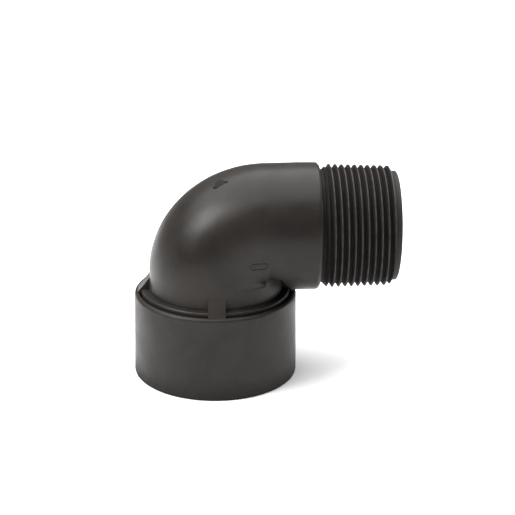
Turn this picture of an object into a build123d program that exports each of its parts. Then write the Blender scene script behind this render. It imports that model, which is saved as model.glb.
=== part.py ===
from build123d import *
import math
import os

# Street elbow, 90 degrees, for 1-1/4 inch taper pipe thread: a female socket below, a male nipple to the side.
# Origin: centre of the hub's bottom face. +Z runs up the hub's axis, +X runs along the nipple's axis.
# All sizes are in millimetres.

# Pipe thread, shared by the nipple and the hub: 11.5 threads per inch, taper 1 in 16 on the diameter.
threads_per_inch = 11.5
thread_pitch = 25.4 / threads_per_inch
thread_taper = 1 / 32                # change of radius per millimetre of length
thread_depth = 1.50
thread_crest_flat = 0.30
thread_flank_angle = 30.0
thread_foot_depth = 0.08             # how far the ridge's foot reaches into the wall that carries it
thread_crest_margin = 0.05           # the turned envelope clears the crest by this much
thread_chamfer_overcut = 0.25        # the chamfer at each end goes this far below the thread's root

# Overall sizes. The nipple's axis follows from the hub, the flange on it and the collar on that.
hub_height = 29.2
nipple_end_x = 61.2                  # free end of the nipple from the hub's axis

# Passage through the elbow.
flow_bore_radius = 15.5
passage_bend_radius = 16.6
bore_mouth_chamfer = 0.8

# Hub, a round cup: thread in its lower end, socket for the elbow's leg in its upper end, a web between.
hub_rim_wall = 1.25                  # outside the recess, at the rim
hub_rim_land = 0.05                  # flat left between the rim's fillet and the recess
hub_wall_draft = 0.4                 # the bottom's radius is larger than the rim's by this much
hub_foot_fillet = 0.5
hub_mouth_radius = 21.7              # plain lead-in, wider than the pipe that screws in
hub_mouth_length = 2.0
hub_thread_root_radius = 20.95       # where the lead-in ends
hub_thread_length = 14.5
hub_thread_end_chamfer = 0.8
hub_web_thickness = 2.2
hub_web_bore_radius = 15.9
hub_recess_depth = 1.9               # shallow recess inside the rim for the leg's flange

# Leg of the elbow: flange in the hub's recess, spigot in the hub's socket.
leg_base_radius = 22.9
leg_top_radius = 22.6
flange_overhang = 2.55
flange_side_gap = 1.0                # between the flange's edge and the wall of the hub's recess
flange_height = 3.1
flange_edge_fillet = 0.6
spigot_wall = 6.7
spigot_clearance = 0.10
spigot_end_gap = 0.3
spigot_end_chamfer = 0.6

# Gussets tie the leg to its flange, and their toes key into notches in the hub's rim.
gusset_count = 4
gusset_width = 5.8
gusset_rise = 3.7                    # above the flange's top face, at the leg
gusset_root_depth = 0.8              # how far the gusset's root reaches into the leg
gusset_toe_reach = 0.45              # into the wall of the hub's recess
gusset_toe_drop = 0.25               # toe below the hub's rim
gusset_notch_clearance = 0.10

# Bend and side collar.
bend_centre_x = 17.5
bend_drop = 16.0                     # bend centre below the nipple's axis
bend_section_count = 7
bend_core_margin = 0.4
bend_core_width = 20.0
collar_radius = 21.6
collar_step = 0.25                   # the bend meets the side tube at a radius smaller than the collar's
collar_start_x = 27.5                # the side tube has grown to the collar's radius here
collar_end_x = 35.0
collar_end_fillet = 1.6

# Pocket under the side tube, over the hub's rim, on the bend's inner side.
pocket_start_x = 16.5
pocket_outer_radius = 27.5
pocket_ceiling_drop = 13.2           # below the nipple's axis, where the pocket's ceiling is flat
pocket_tube_wall = 2.8               # left between the pocket and the passage

# Nipple: plain spigot in the collar, relief, thread, plain lead.
nipple_relief_radius = 19.2
nipple_relief_length = 1.0
nipple_thread_crest_radius = 21.05   # at the collar end of the thread
nipple_thread_lead_in = 1.75         # length of the thread's chamfer at the collar
nipple_thread_lead_out = 0.40        # and at the free end
nipple_thread_clocking = 140.0       # turns the thread about the nipple's axis
nipple_lead_radius = 18.6
nipple_lead_length = 2.0
nipple_lead_fillet = 0.5
nipple_spigot_wall = 2.9
nipple_spigot_length = 7.0
nipple_spigot_clearance = 0.05
nipple_spigot_end_gap = 0.3

# Seal and retaining ring between the spigot and the hub.
seal_drop = 5.3                      # middle of the seal below the floor of the hub's recess
seal_depth = 2.35
seal_width = 2.8
seal_corner_radius = 1.0
seal_groove_width = 3.2
seal_clearance = 0.02
retainer_drop = 1.85                 # middle of the ring below the floor of the hub's recess
retainer_section = 1.6
retainer_groove_play = 0.10
retainer_gap_angle = 24.0

# Derived sizes and places.
thread_end_chamfer = thread_depth + thread_chamfer_overcut
flange_radius = leg_base_radius + flange_overhang
hub_recess_radius = flange_radius + flange_side_gap
hub_radius_top = hub_recess_radius + hub_rim_wall
hub_radius_bottom = hub_radius_top + hub_wall_draft
hub_rim_fillet = hub_rim_wall - hub_rim_land
hub_recess_floor = hub_height - hub_recess_depth
hub_web_bottom = hub_mouth_length + hub_thread_length
hub_web_top = hub_web_bottom + hub_web_thickness
flange_top = hub_recess_floor + flange_height
side_axis_height = flange_top + collar_radius
tube_radius = collar_radius - collar_step
gusset_toe_radius = hub_recess_radius + gusset_toe_reach
spigot_bottom = hub_web_top + spigot_end_gap
spigot_radius = flow_bore_radius + spigot_wall
seal_height = hub_recess_floor - seal_drop
retainer_height = hub_recess_floor - retainer_drop
nipple_spigot_radius = flow_bore_radius + nipple_spigot_wall
socket_radius = spigot_radius + spigot_clearance
seal_groove_radius = socket_radius - seal_depth
retainer_inner_radius = socket_radius - retainer_section / 2
retainer_outer_radius = socket_radius + retainer_section / 2
nipple_socket_radius = nipple_spigot_radius + nipple_spigot_clearance
nipple_thread_start_x = collar_end_x + nipple_relief_length
nipple_thread_end_x = nipple_end_x - nipple_lead_length
bend_centre_z = side_axis_height - bend_drop
past = 5.0                           # how far a cutting tool runs past the face that it opens


def turned(points):
    """A solid of revolution about Z from (radius, height) corners."""
    outline = make_face(Polyline([(radius, 0, height) for radius, height in points], close=True))
    return revolve(outline, Axis.Z)


def tube(outer_radius, inner_radius, low, high):
    """A plain ring about Z."""
    return turned([(inner_radius, low), (outer_radius, low), (outer_radius, high), (inner_radius, high)])


def rod(radius, low, high):
    """A plain round bar about Z."""
    return Pos(0, 0, (low + high) / 2) * Cylinder(radius, high - low)


def along_nipple(solid):
    """Lays a solid made about Z on the nipple's axis, its +Z towards the nipple's free end."""
    return Pos(0, 0, side_axis_height) * Rot(0, 90, 0) * solid


def edges_at(solid, radius, height):
    """The round edges of a solid about Z at one radius and height."""
    def matches(edge):
        return (edge.geom_type == GeomType.CIRCLE and abs(edge.radius - radius) < 1e-3
                and abs(edge.arc_center.Z - height) < 1e-3)
    return ShapeList([edge for edge in solid.edges() if matches(edge)])


def threaded_plug(crest_radius, length, lead_in, lead_out):
    """A tapered right-hand thread about Z, from its wide end at Z = 0 up to its narrow end.
    Its chamfers are as long as lead_in and lead_out say."""
    overrun = 2 * thread_pitch
    run = length + 2 * overrun
    root_radius = crest_radius - thread_depth + overrun * thread_taper
    foot_radius = root_radius - thread_foot_depth
    peak_radius = root_radius + thread_depth
    half_peak = thread_crest_flat / 2
    half_foot = half_peak + (peak_radius - foot_radius) * math.tan(math.radians(thread_flank_angle))
    profile = make_face(Polyline([
        (foot_radius, 0, -half_foot), (peak_radius, 0, -half_peak),
        (peak_radius, 0, half_peak), (foot_radius, 0, half_foot),
    ], close=True))
    cone_angle = -math.degrees(math.atan(thread_taper))
    ridge = sweep(profile, path=Helix(thread_pitch, run, root_radius, cone_angle=cone_angle), is_frenet=True)
    core = turned([
        (0, -thread_pitch), (root_radius + thread_pitch * thread_taper, -thread_pitch),
        (root_radius - (run + thread_pitch) * thread_taper, run + thread_pitch), (0, run + thread_pitch),
    ])
    end_crest = crest_radius - length * thread_taper
    envelope = turned([
        (0, 0), (crest_radius - thread_end_chamfer, 0), (crest_radius + thread_crest_margin, lead_in),
        (end_crest + thread_crest_margin, length - lead_out), (end_crest - thread_end_chamfer, length),
        (0, length),
    ])
    return Pos(0, 0, -overrun) * (core + ridge) & envelope


def radial_plate(corners, width):
    """A flat plate on the +X side, from its (radius, height) corners."""
    outline = make_face(Polyline([(radius, 0, height) for radius, height in corners], close=True))
    return extrude(outline, amount=width / 2, both=True)


def around(plate):
    """Copies of a plate on the +X side, one for each gusset."""
    return [Rot(0, 0, 360 / gusset_count * number) * plate for number in range(gusset_count)]


def gussets():
    """The gussets, each from inside the leg down to its toe."""
    inside = leg_base_radius - gusset_root_depth
    low = hub_recess_floor + gusset_notch_clearance
    top = flange_top + gusset_rise
    toe_top = hub_height - gusset_toe_drop
    slope = (top - toe_top) / (gusset_toe_radius - leg_base_radius)
    return around(radial_plate([
        (inside, low), (gusset_toe_radius, low), (gusset_toe_radius, toe_top),
        (leg_base_radius, top), (inside, top + slope * gusset_root_depth),
    ], gusset_width))


def gusset_notches():
    """What the toes need cut from the wall of the hub's recess."""
    outside = gusset_toe_radius + gusset_notch_clearance
    return around(radial_plate([
        (flange_radius, hub_recess_floor), (outside, hub_recess_floor),
        (outside, hub_height + past), (flange_radius, hub_height + past),
    ], gusset_width + 2 * gusset_notch_clearance))


def bend_section(angle):
    """The bend's cross-section, cut off at the bend's centre line, at an angle from the leg to the side tube."""
    share = angle / 90
    radius = leg_top_radius + (tube_radius - leg_top_radius) * share
    outer_x = bend_centre_x + leg_top_radius
    outer_z = bend_drop + tube_radius
    turn = math.radians(angle)
    reach = 1 / math.hypot(math.cos(turn) / outer_x, math.sin(turn) / outer_z)
    middle = reach - radius
    side = math.sqrt(radius ** 2 - (middle - bend_core_margin) ** 2)
    plane = Plane(
        origin=(bend_centre_x, 0, bend_centre_z),
        x_dir=(-math.cos(turn), 0, math.sin(turn)),
        z_dir=(math.sin(turn), 0, math.cos(turn)),
    )
    start, end = (bend_core_margin, -side), (bend_core_margin, side)
    outline = Wire([
        Edge.make_three_point_arc(Vector(*start), Vector(reach, 0), Vector(*end)),
        Edge.make_line(Vector(*end), Vector(*start)),
    ])
    return plane * make_face(outline)


def bend():
    """The outside of the bend, a loft through sections that fan about the bend's centre line."""
    angles = [90 * step / (bend_section_count - 1) for step in range(bend_section_count)]
    fan = loft([bend_section(angle) for angle in angles])
    reach = bend_centre_x - flow_bore_radius + past
    core = Box(reach, bend_core_width, reach, align=(Align.MAX, Align.CENTER, Align.MIN))
    return fan + Pos(bend_centre_x + bend_core_margin, 0, bend_centre_z - bend_core_margin) * core


def passage():
    """The flow passage of the elbow body, with the socket for the nipple's spigot."""
    start = (0, 0, spigot_bottom - past)
    corner = (0, 0, side_axis_height)
    end = (collar_end_x + past, 0, side_axis_height)
    route = FilletPolyline(start, corner, end, radius=passage_bend_radius)
    bore = sweep(Pos(*start) * Circle(flow_bore_radius), path=route)
    socket_floor = collar_end_x - nipple_spigot_length - nipple_spigot_end_gap
    return bore + along_nipple(rod(nipple_socket_radius, socket_floor, collar_end_x + past))


def pocket():
    """What is cut from the side tube and the bend over the hub's rim, outside the leg."""
    low, high = hub_recess_floor, side_axis_height - pocket_ceiling_drop
    reach = pocket_outer_radius - pocket_start_x + past
    side = Pos(pocket_start_x, 0, low) * Box(
        reach, 2 * (pocket_outer_radius + past), high - low, align=(Align.MIN, Align.CENTER, Align.MIN))
    kept = along_nipple(rod(flow_bore_radius + pocket_tube_wall, 0, pocket_outer_radius + past))
    return (rod(pocket_outer_radius, low, high) & side) - kept


def elbow_body():
    """Leg with flange, gussets and spigot, the bend, and the collar that takes the nipple."""
    spigot = turned([
        (0, spigot_bottom), (spigot_radius - spigot_end_chamfer, spigot_bottom),
        (spigot_radius, spigot_bottom + spigot_end_chamfer), (spigot_radius, hub_recess_floor),
        (0, hub_recess_floor),
    ])
    seal_groove = tube(spigot_radius + past, seal_groove_radius,
                       seal_height - seal_groove_width / 2, seal_height + seal_groove_width / 2)
    half_ring = retainer_section / 2 + retainer_groove_play
    ring_groove = tube(spigot_radius + past, retainer_inner_radius - retainer_groove_play,
                       retainer_height - half_ring, retainer_height + half_ring)
    flange = rod(flange_radius, hub_recess_floor, flange_top)
    flange = fillet(edges_at(flange, flange_radius, flange_top), flange_edge_fillet)
    leg = turned([
        (0, hub_recess_floor), (leg_base_radius, hub_recess_floor), (leg_base_radius, flange_top),
        (leg_top_radius, bend_centre_z), (0, bend_centre_z),
    ])
    ceiling = side_axis_height - pocket_ceiling_drop
    inner_side = Pos(pocket_start_x, 0, ceiling) * Box(
        leg_top_radius, 2 * leg_top_radius, 2 * past, align=(Align.MIN, Align.CENTER, Align.CENTER))
    inner_leg = rod(leg_top_radius, bend_centre_z, ceiling + pocket_tube_wall) & inner_side
    side = along_nipple(turned([
        (0, bend_centre_x), (tube_radius, bend_centre_x), (collar_radius, collar_start_x),
        (collar_radius, collar_end_x), (0, collar_end_x),
    ]))
    collar_edge = ShapeList([
        edge for edge in side.edges().filter_by(GeomType.CIRCLE)
        if abs(edge.arc_center.X - collar_end_x) < 1e-3
    ])
    side = fillet(collar_edge, collar_end_fillet)
    upper = side + bend() - pocket() + leg + inner_leg
    solid = spigot - seal_groove - ring_groove + flange + upper
    for plate in gussets():
        solid += plate
    return solid - passage()


def threaded_hub():
    """The cup: tapered thread below the web, socket, ring groove, recess and key notches above it."""
    blank = turned([
        (0, 0), (hub_radius_bottom, 0), (hub_radius_top, hub_height), (0, hub_height),
    ])
    blank = fillet(edges_at(blank, hub_radius_top, hub_height), hub_rim_fillet)
    blank = fillet(edges_at(blank, hub_radius_bottom, 0), hub_foot_fillet)
    mouth = rod(hub_mouth_radius, -past, hub_mouth_length)
    thread = Pos(0, 0, hub_mouth_length) * threaded_plug(
        hub_thread_root_radius, hub_thread_length, 0, hub_thread_end_chamfer)
    web_bore = rod(hub_web_bore_radius, hub_web_bottom - past, hub_web_top + past)
    socket = rod(socket_radius, hub_web_top, hub_height + past)
    half_ring = retainer_section / 2 + retainer_groove_play
    ring_groove = tube(retainer_outer_radius + retainer_section / 2 + retainer_groove_play, socket_radius - past,
                       retainer_height - half_ring, retainer_height + half_ring)
    recess = rod(hub_recess_radius, hub_recess_floor, hub_height + past)
    solid = blank - mouth - thread - web_bore - socket - ring_groove - recess
    for notch in gusset_notches():
        solid -= notch
    return solid


def male_nipple():
    """Spigot, relief, tapered thread and plain lead, bored through."""
    spigot = rod(nipple_spigot_radius, collar_end_x - nipple_spigot_length, collar_end_x)
    relief = rod(nipple_relief_radius, collar_end_x, nipple_thread_start_x)
    thread = Pos(0, 0, nipple_thread_start_x) * Rot(0, 0, nipple_thread_clocking) * threaded_plug(
        nipple_thread_crest_radius, nipple_thread_end_x - nipple_thread_start_x,
        nipple_thread_lead_in, nipple_thread_lead_out)
    lead = rod(nipple_lead_radius, nipple_thread_end_x, nipple_end_x)
    lead = fillet(edges_at(lead, nipple_lead_radius, nipple_end_x), nipple_lead_fillet)
    bore = rod(flow_bore_radius, collar_end_x - nipple_spigot_length - past, nipple_end_x + past)
    mouth = turned([
        (0, nipple_end_x - bore_mouth_chamfer), (flow_bore_radius, nipple_end_x - bore_mouth_chamfer),
        (flow_bore_radius + bore_mouth_chamfer, nipple_end_x), (0, nipple_end_x),
    ])
    return along_nipple(spigot + relief + thread + lead - bore - mouth)


def hub_seal():
    """The O-ring between the spigot's groove and the hub's socket, as it lies when squeezed."""
    inner = seal_groove_radius + seal_clearance
    outer = socket_radius - seal_clearance
    section = Plane.XZ * Pos((inner + outer) / 2, seal_height) * RectangleRounded(
        outer - inner, seal_width, seal_corner_radius)
    return revolve(section, Axis.Z)


def retaining_ring():
    """The split ring that bridges the spigot's groove and the hub's groove."""
    section = Plane.XZ * Pos(socket_radius, retainer_height) * Rectangle(retainer_section, retainer_section)
    ring = revolve(section, Axis.Z, 360 - retainer_gap_angle)
    return Rot(0, 0, retainer_gap_angle / 2 + 45) * ring


pieces = {
    "elbow_body": elbow_body,
    "threaded_hub": threaded_hub,
    "male_nipple": male_nipple,
    "hub_seal": hub_seal,
    "retaining_ring": retaining_ring,
}

os.makedirs("parts", exist_ok=True)
for name, make in pieces.items():
    export_step(make(), f"parts/{name}.step")
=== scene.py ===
import math

import bmesh
import bpy
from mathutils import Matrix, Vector, noise
from mathutils.bvhtree import BVHTree


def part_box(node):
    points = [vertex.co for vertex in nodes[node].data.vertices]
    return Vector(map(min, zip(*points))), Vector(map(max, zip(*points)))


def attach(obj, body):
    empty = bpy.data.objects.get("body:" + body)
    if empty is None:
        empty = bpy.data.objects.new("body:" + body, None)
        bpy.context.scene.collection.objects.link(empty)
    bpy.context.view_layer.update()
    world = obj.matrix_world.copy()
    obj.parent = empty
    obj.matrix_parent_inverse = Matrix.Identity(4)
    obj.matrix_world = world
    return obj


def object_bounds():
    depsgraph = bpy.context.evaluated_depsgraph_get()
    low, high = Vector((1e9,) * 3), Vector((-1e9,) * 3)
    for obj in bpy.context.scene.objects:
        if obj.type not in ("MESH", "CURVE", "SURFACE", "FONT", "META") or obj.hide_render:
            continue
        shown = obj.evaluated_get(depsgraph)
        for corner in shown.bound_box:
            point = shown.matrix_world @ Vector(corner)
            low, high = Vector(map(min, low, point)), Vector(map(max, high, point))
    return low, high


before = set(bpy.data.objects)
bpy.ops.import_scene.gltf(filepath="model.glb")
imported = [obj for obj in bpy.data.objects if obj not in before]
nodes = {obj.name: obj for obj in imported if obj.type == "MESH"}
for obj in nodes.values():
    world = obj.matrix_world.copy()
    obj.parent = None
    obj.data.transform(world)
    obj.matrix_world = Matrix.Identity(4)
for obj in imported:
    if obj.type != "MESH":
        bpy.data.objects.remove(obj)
cad_low, cad_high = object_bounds()

MM = 0.001

# Places on the elbow, from the frame's own boxes.
nipple_low, nipple_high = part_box("male_nipple")
body_top_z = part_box("elbow_body")[1].z
nipple_axis_z = (nipple_low.z + nipple_high.z) / 2

# Bend: its outer line is a quarter ellipse about the bend's centre, just under the collar's top.
bend_drop = 16.0 * MM
collar_step = 0.25 * MM
leg_top_radius = 22.6 * MM
bend_centre_x = 17.5 * MM
bend_centre_z = nipple_axis_z - bend_drop
bend_reach_x = bend_centre_x + leg_top_radius
bend_reach_z = body_top_z - collar_step - bend_centre_z

# Nipple thread: a taper thread, with the plain lead beyond its end.
thread_start_x = 36.0 * MM
thread_end_x = 59.2 * MM
thread_crest_radius = 21.05 * MM
thread_taper = 1 / 32


# Materials

class Nodes:
    """A material's node tree with short calls for the nodes that the finishes share."""

    def __init__(self, name):
        self.material = bpy.data.materials.new(name)
        self.material.use_nodes = True
        self.tree = self.material.node_tree
        self.shader = self.tree.nodes["Principled BSDF"]
        self.coordinates = self.tree.nodes.new("ShaderNodeTexCoord").outputs["Object"]

    def add(self, kind, inputs=None, **settings):
        node = self.tree.nodes.new(kind)
        for key, value in settings.items():
            setattr(node, key, value)
        for key, value in (inputs or {}).items():
            self.put(node.inputs[key], value)
        return node

    def put(self, socket, value):
        if isinstance(value, bpy.types.NodeSocket):
            self.tree.links.new(value, socket)
        else:
            socket.default_value = value

    def scaled(self, scale, turn):
        return self.add("ShaderNodeMapping", {
            "Vector": self.coordinates, "Scale": scale, "Rotation": turn}).outputs["Vector"]

    def noise(self, scale, detail=3.0, roughness=0.5, distortion=0.0, vector=None):
        return self.add("ShaderNodeTexNoise", {
            "Vector": vector or self.coordinates, "Scale": scale, "Detail": detail,
            "Roughness": roughness, "Distortion": distortion}).outputs["Fac"]

    def ranged(self, value, low, high, to_low=0.0, to_high=1.0, smooth=False):
        return self.add("ShaderNodeMapRange", {
            "Value": value, "From Min": low, "From Max": high, "To Min": to_low, "To Max": to_high},
            interpolation_type="SMOOTHSTEP" if smooth else "LINEAR").outputs["Result"]

    def math(self, operation, a, b=0.0):
        node = self.add("ShaderNodeMath", operation=operation)
        self.put(node.inputs[0], a)
        self.put(node.inputs[1], b)
        return node.outputs[0]

    def radius(self, a, b):
        """How far a place lies from an axis, from its two distances across that axis."""
        return self.math("SQRT", self.math("ADD", self.math("MULTIPLY", a, a), self.math("MULTIPLY", b, b)))

    def mixed(self, share, first, second):
        node = self.add("ShaderNodeMix", data_type="RGBA")
        self.put(node.inputs["Factor"], share)
        self.put(node.inputs["A"], first)
        self.put(node.inputs["B"], second)
        return node.outputs["Result"]

    def bump(self, height, distance, strength=1.0, normal=None):
        inputs = {"Height": height, "Distance": distance, "Strength": strength}
        if normal is not None:
            inputs["Normal"] = normal
        return self.add("ShaderNodeBump", inputs).outputs["Normal"]

    def open_sky(self, reach):
        """1 on open skin, falling to 0 in corners, where the mould leaves the plastic dull."""
        return self.add("ShaderNodeAmbientOcclusion", {"Distance": reach}, samples=6).outputs["AO"]

    def split(self):
        return self.add("ShaderNodeSeparateXYZ", {"Vector": self.coordinates}).outputs


SPECK_TONE = (0.085, 0.078, 0.070, 1)
SCUFF_TONE = (0.075, 0.070, 0.064, 1)


def moulded_plastic(name, dark, light, rough_low, rough_high, grain=1.0, sheen=0.26):
    """Black polypropylene as it leaves the mould: cloudy tone, fine grain, small scuffs, dull corners."""
    look = Nodes(name)
    cloud = look.noise(55, 4, 0.55, 0.6)
    tone = look.ranged(cloud, 0.35, 0.66, smooth=True)
    specks = look.ranged(look.noise(2600, 2, 0.6), 0.66, 0.74)
    colour = look.mixed(tone, dark, light)
    colour = look.mixed(look.math("MULTIPLY", specks, 0.25), colour, SPECK_TONE)
    scuff = look.noise(1.0, 4, 0.65, 0.8, look.scaled((140, 900, 520), (0.3, 0.5, 0.9)))
    scuff = look.ranged(scuff, 0.67, 0.74, smooth=True)
    colour = look.mixed(look.math("MULTIPLY", scuff, 0.30), colour, SCUFF_TONE)
    look.put(look.shader.inputs["Base Color"], colour)
    rough = look.ranged(look.noise(120, 5, 0.6, 0.4), 0.3, 0.7, rough_low, rough_high)
    rough = look.math("ADD", rough, look.math("MULTIPLY", scuff, 0.12))
    corner = look.math("SUBTRACT", 1.0, look.open_sky(7 * MM))
    rough = look.math("ADD", rough, look.math("MULTIPLY", corner, 0.60))
    look.put(look.shader.inputs["Roughness"], rough)
    waves = look.bump(look.noise(95, 2, 0.4, 0.3), 0.00012 * grain, 0.5)
    skin = look.bump(look.noise(1500, 3, 0.6), 0.000016 * grain, 0.8, waves)
    look.put(look.shader.inputs["Normal"], skin)
    look.shader.inputs["IOR"].default_value = 1.49
    look.shader.inputs["Specular IOR Level"].default_value = sheen
    return look


def threaded_plastic(name, dark, light, crest_wear_and_highlight_tone, lead_highlight_tone):
    """The nipple's plastic: the same black, paler on the thread's crests and on the plain lead; the lead's
    paling is painted highlight, the crests' is painted highlight broken up like scuff wear.
    """
    look = moulded_plastic(name, dark, light, 0.40, 0.52, sheen=0.18)
    x, y, z = look.split()
    radius = look.radius(y, look.math("SUBTRACT", z, nipple_axis_z))
    narrowing = look.math("MULTIPLY", look.math("SUBTRACT", x, thread_start_x), thread_taper)
    straight = look.math("ADD", radius, narrowing)
    # Paler thread crests: painted highlight for the light the crests catch, made patchy like scuff wear.
    crest_wear_and_highlight = look.ranged(
        straight, thread_crest_radius - 0.28 * MM, thread_crest_radius - 0.02 * MM, smooth=True)
    patchy = look.ranged(look.noise(420, 3, 0.6), 0.35, 0.6, 0.35, 1.0)
    crest_wear_and_highlight = look.math("MULTIPLY", crest_wear_and_highlight, patchy)
    colour = look.shader.inputs["Base Color"].links[0].from_socket
    # The plain lead beyond the thread is painted paler: a painted highlight for the light its end catches.
    beyond_thread = look.ranged(x, thread_end_x - 0.3 * MM, thread_end_x + 0.2 * MM)
    colour = look.mixed(beyond_thread, colour, lead_highlight_tone)
    colour = look.mixed(look.math("MULTIPLY", crest_wear_and_highlight, 0.7), colour, crest_wear_and_highlight_tone)
    look.put(look.shader.inputs["Base Color"], colour)
    return look


def seal_rubber(name):
    """Moulded nitrile rubber: matt, a little dusty."""
    look = Nodes(name)
    bloom = look.ranged(look.noise(260, 5, 0.6), 0.4, 0.7, smooth=True)
    colour = look.mixed(bloom, (0.010, 0.010, 0.011, 1), (0.030, 0.029, 0.028, 1))
    look.put(look.shader.inputs["Base Color"], colour)
    look.put(look.shader.inputs["Roughness"], look.ranged(bloom, 0, 1, 0.62, 0.82))
    look.put(look.shader.inputs["Normal"], look.bump(look.noise(2200, 3, 0.6), 0.00002, 0.7))
    return look


def spring_steel(name):
    """Drawn stainless wire: bright, with fine lines round the ring."""
    look = Nodes(name)
    x, y, z = look.split()
    line_place = look.add("ShaderNodeCombineXYZ", {"X": look.radius(x, y), "Z": z}).outputs["Vector"]
    lines = look.noise(9000, 2, 0.6, 0.0, line_place)
    colour = look.mixed(lines, (0.42, 0.41, 0.39, 1), (0.62, 0.61, 0.59, 1))
    look.put(look.shader.inputs["Base Color"], colour)
    look.put(look.shader.inputs["Roughness"], look.ranged(lines, 0.3, 0.7, 0.24, 0.40))
    look.put(look.shader.inputs["Normal"], look.bump(lines, 0.000006, 0.6))
    look.shader.inputs["Metallic"].default_value = 1.0
    return look


body_plastic = moulded_plastic(
    "black_body_plastic", dark=(0.0072, 0.0055, 0.0044, 1), light=(0.0132, 0.0103, 0.0082, 1),
    rough_low=0.31, rough_high=0.42).material
hub_plastic = moulded_plastic(
    "black_hub_plastic", dark=(0.0086, 0.0068, 0.0054, 1), light=(0.0136, 0.0108, 0.0088, 1),
    rough_low=0.38, rough_high=0.50).material
nipple_plastic = threaded_plastic(
    "black_thread_plastic", dark=(0.0050, 0.0040, 0.0034, 1), light=(0.0086, 0.0070, 0.0060, 1),
    crest_wear_and_highlight_tone=(0.056, 0.050, 0.044, 1), lead_highlight_tone=(0.0260, 0.0235, 0.0205, 1)).material

finishes = {
    "elbow_body": body_plastic,
    "threaded_hub": hub_plastic,
    "male_nipple": nipple_plastic,
    "hub_seal": seal_rubber("seal_rubber").material,
    "retaining_ring": spring_steel("spring_steel").material,
}
for name, material in finishes.items():
    slots = nodes[name].data.materials
    for index in range(len(slots)):
        slots[index] = material


# Small moulded details on the elbow's skin

body_skin = BVHTree.FromObject(nodes["elbow_body"], bpy.context.evaluated_depsgraph_get())


def skin_place(outside, inward):
    """Where a straight line from outside meets the elbow's skin, and the skin's outward direction there."""
    place, normal = body_skin.ray_cast(Vector(outside), Vector(inward).normalized())[:2]
    if normal.dot(Vector(inward)) > 0:
        normal = -normal
    return place, normal


def pressed_on(bm, outside, inward, along):
    """Lays a flat detail on the elbow's skin. Its X runs along the skin, its Z is height over the skin."""
    inward = Vector(inward).normalized()
    along = (Vector(along) - inward * inward.dot(Vector(along))).normalized()
    across = along.cross(inward)
    for vert in bm.verts:
        start = Vector(outside) + along * vert.co.x + across * vert.co.y
        place, normal = skin_place(start, inward)
        vert.co = place + normal * vert.co.z


def finished(bm, name, material):
    """Turns a bmesh into a piece that rides on the elbow."""
    bmesh.ops.remove_doubles(bm, verts=bm.verts, dist=1e-6)
    bmesh.ops.recalc_face_normals(bm, faces=bm.faces)
    mesh = bpy.data.meshes.new(name)
    bm.to_mesh(mesh)
    bm.free()
    mesh.materials.append(material)
    obj = bpy.data.objects.new(name, mesh)
    bpy.context.scene.collection.objects.link(obj)
    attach(obj, "root")


def new_verts(geometry):
    """The vertices among what an operator made."""
    return [item for item in geometry if isinstance(item, bmesh.types.BMVert)]


def rounded_top(bm, width, segments=3):
    """Rounds the edges of the faces that look up."""
    top = [face for face in bm.faces if face.normal.z > 0.9]
    rim = [edge for edge in bm.edges if sum(face in top for face in edge.link_faces) == 1]
    bmesh.ops.bevel(bm, geom=rim, offset=width, offset_type="OFFSET", affect="EDGES",
                    segments=segments, profile=0.5, material=-1)


def raise_flat(bm, height, sunk):
    """Gives a flat outline its height over the skin, a foot under it, and a rounded top edge."""
    faces = list(bm.faces)
    bmesh.ops.recalc_face_normals(bm, faces=faces)
    top = new_verts(bmesh.ops.extrude_face_region(bm, geom=faces, use_keep_orig=True)["geom"])
    bottom = [vert for vert in bm.verts if vert not in top]
    bmesh.ops.translate(bm, verts=top, vec=(0, 0, height))
    bmesh.ops.translate(bm, verts=bottom, vec=(0, 0, -sunk))
    bmesh.ops.recalc_face_normals(bm, faces=bm.faces)
    rounded_top(bm, height * 0.45, 2)


def gate_mark():
    """Where the moulding was broken from its gate: a low torn stub with a lump at each end."""
    foot_radius, top_radius, thickness, sunk = 2.45 * MM, 2.10 * MM, 0.30 * MM, 0.07 * MM
    rings, ring_width = 7, 0.27 * MM
    bm = bmesh.new()
    bmesh.ops.create_cone(bm, cap_ends=True, segments=48, radius1=foot_radius, radius2=top_radius,
                          depth=thickness)
    bmesh.ops.translate(bm, verts=bm.verts, vec=(0, 0, -sunk))
    rounded_top(bm, 0.09 * MM)
    top = [face for face in bm.faces if face.normal.z > 0.99]
    for step in range(rings):
        bmesh.ops.inset_region(bm, faces=top, thickness=ring_width, depth=0,
                               use_boundary=True, use_even_offset=True)
    bmesh.ops.poke(bm, faces=top)
    for vert in bm.verts:
        torn = max(0.0, 1 - (vert.co.xy.length / top_radius) ** 2)
        vert.co.z += 0.13 * MM * torn * noise.noise(Vector((vert.co.x * 900, vert.co.y * 900, 3.1)))
        outline = noise.noise(Vector((vert.co.x * 330, vert.co.y * 330, 0.7)))
        vert.co.x *= 1 + 0.45 * outline
        vert.co.y *= 0.86 + 0.45 * outline
    for turn, reach, size in ((-12, 2.1, 0.62), (206, 2.0, 0.85)):
        lump = bmesh.ops.create_icosphere(bm, subdivisions=3, radius=size * MM)["verts"]
        angle = math.radians(turn)
        middle = Vector((math.cos(angle), math.sin(angle), 0)) * reach * MM
        for vert in lump:
            vert.co *= 1 + 0.45 * noise.noise(vert.co * 2200 + middle * 5000)
            vert.co.z *= 0.38
            vert.co += middle
    above_bend = (-6.2 * MM, -12.0 * MM, 86.6 * MM)
    pressed_on(bm, above_bend, inward=(0.38, 0.28, -0.88), along=(0.88, 0, 0.38))
    finished(bm, "gate_mark", gate_plastic)


def end_shift(x, half_length):
    """How far a place on a round outline moves to make the outline oblong."""
    if abs(x) < 1e-7:
        return 0
    return math.copysign(half_length, x)


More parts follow.
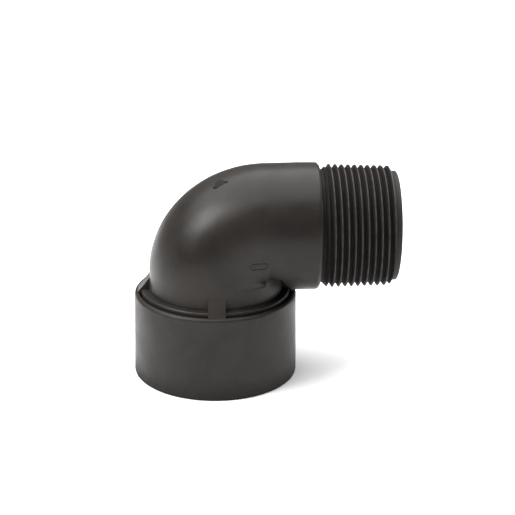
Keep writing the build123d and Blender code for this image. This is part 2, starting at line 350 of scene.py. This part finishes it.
def size_pad():
    """The raised oblong outline on the side of the elbow, left blank."""
    half_length, half_width, line = 1.75 * MM, 1.30 * MM, 0.42 * MM
    bm = bmesh.new()
    outer = bmesh.ops.create_circle(bm, cap_ends=False, segments=48, radius=half_width)["verts"]
    for vert in outer:
        vert.co.x += end_shift(vert.co.x, half_length)
    inner = new_verts(bmesh.ops.extrude_edge_only(bm, edges=list(bm.edges))["geom"])
    for vert in inner:
        end = end_shift(vert.co.x, half_length)
        vert.co.x = end + (vert.co.x - end) * (1 - line / half_width)
        vert.co.y *= 1 - line / half_width
    raise_flat(bm, height=0.20 * MM, sunk=0.14 * MM)
    beside_elbow = (14.0 * MM, -40 * MM, 44.8 * MM)
    pressed_on(bm, beside_elbow, inward=(0, 1, 0), along=(1, 0, 0.02))
    finished(bm, "size_pad", body_plastic)


def parting_line():
    """The fine witness line that the mould's two halves leave round the back of the bend."""
    foot, peak, half_foot, half_peak = 0.15 * MM, 0.05 * MM, 0.17 * MM, 0.06 * MM
    along_collar = (7.0 * MM, 0, 0.19 * MM)
    down_leg = (-0.38 * MM, 0, -5.0 * MM)
    bm = bmesh.new()
    corners = ((-foot, -half_foot), (peak, -half_peak), (peak, half_peak), (-foot, half_foot))
    section = bm.faces.new([bm.verts.new((-bend_reach_x - rise, y, 0)) for rise, y in corners])
    turned = bmesh.ops.spin(bm, geom=[section] + section.edges[:] + section.verts[:], cent=(0, 0, 0),
                            axis=(0, 1, 0), angle=math.radians(90), steps=96, dvec=(0, 0, 0),
                            use_merge=False, use_duplicate=False)
    last = [item for item in turned["geom_last"] if isinstance(item, bmesh.types.BMFace)][0]
    bmesh.ops.scale(bm, verts=bm.verts, vec=(1, 1, bend_reach_z / bend_reach_x))
    for face, shift in ((last, along_collar), (section, down_leg)):
        grown = bmesh.ops.extrude_face_region(bm, geom=[face])["geom"]
        bmesh.ops.translate(bm, verts=new_verts(grown), vec=shift)
        bmesh.ops.delete(bm, geom=[face], context="FACES_ONLY")
    bmesh.ops.translate(bm, verts=bm.verts, vec=(bend_centre_x, 0, bend_centre_z))
    finished(bm, "parting_line", body_plastic)


gate_plastic = moulded_plastic(
    "torn_gate_plastic", dark=(0.0040, 0.0032, 0.0027, 1), light=(0.0110, 0.0090, 0.0076, 1),
    rough_low=0.58, rough_high=0.76, grain=2.5, sheen=0.16).material
gate_mark()
size_pad()
parting_line()


# Stage

def stage_material():
    """A pale matt floor that can't be seen from below, so that the hub's mouth shows from there."""
    look = Nodes("pale_floor")
    tone = look.mixed(look.noise(3, 3, 0.5), (0.90, 0.90, 0.90, 1), (0.93, 0.93, 0.93, 1))
    look.put(look.shader.inputs["Base Color"], tone)
    look.shader.inputs["Roughness"].default_value = 0.9
    look.shader.inputs["Specular IOR Level"].default_value = 0.1
    from_below = look.add("ShaderNodeNewGeometry").outputs["Backfacing"]
    clear = look.add("ShaderNodeBsdfTransparent").outputs["BSDF"]
    shown = look.add("ShaderNodeMixShader", {"Fac": from_below})
    look.put(shown.inputs[1], look.shader.outputs["BSDF"])
    look.put(shown.inputs[2], clear)
    look.put(look.tree.nodes["Material Output"].inputs["Surface"], shown.outputs["Shader"])
    return look.material


def floor():
    under_hub = 0.02 * MM
    mesh = bpy.data.meshes.new("floor")
    bm = bmesh.new()
    bmesh.ops.create_grid(bm, x_segments=1, y_segments=1, size=3.0)
    bm.to_mesh(mesh)
    bm.free()
    obj = bpy.data.objects.new("floor", mesh)
    bpy.context.scene.collection.objects.link(obj)
    obj.location.z = cad_low.z - under_hub
    mesh.materials.append(stage_material())


def soft_light(name, place, width, height, power):
    """A rectangular lamp turned towards the middle of the elbow."""
    elbow_middle = Vector((0.016, 0, 0.036))
    light = bpy.data.lights.new(name, "AREA")
    light.shape = "RECTANGLE"
    light.size, light.size_y = width, height
    light.energy = power
    obj = bpy.data.objects.new(name, light)
    bpy.context.scene.collection.objects.link(obj)
    obj.location = place
    obj.rotation_euler = (elbow_middle - Vector(place)).to_track_quat("-Z", "Y").to_euler()


def camera():
    data = bpy.data.cameras.new("camera")
    data.sensor_width = 36
    data.lens = 99.82
    data.clip_start = 0.01
    obj = bpy.data.objects.new("camera", data)
    bpy.context.scene.collection.objects.link(obj)
    obj.location = (-0.00813, -0.45681, 0.21173)
    obj.rotation_euler = [math.radians(angle) for angle in (69.4785, -0.5907, -2.5977)]
    bpy.context.scene.camera = obj


def pale_room():
    world = bpy.data.worlds.new("pale_room")
    world.use_nodes = True
    background = world.node_tree.nodes["Background"]
    background.inputs["Color"].default_value = (1, 1, 1, 1)
    background.inputs["Strength"].default_value = 0.38
    bpy.context.scene.world = world
    bpy.context.scene.view_settings.view_transform = "Standard"


floor()
camera()
pale_room()
soft_light("overhead", (-0.03, 0.12, 0.75), width=1.5, height=1.1, power=18.5)
soft_light("key_left", (-0.50, -0.21, 0.52), width=0.34, height=0.30, power=4.4)
soft_light("right_panel", (0.70, 0.24, 0.14), width=0.45, height=0.40, power=2.7)
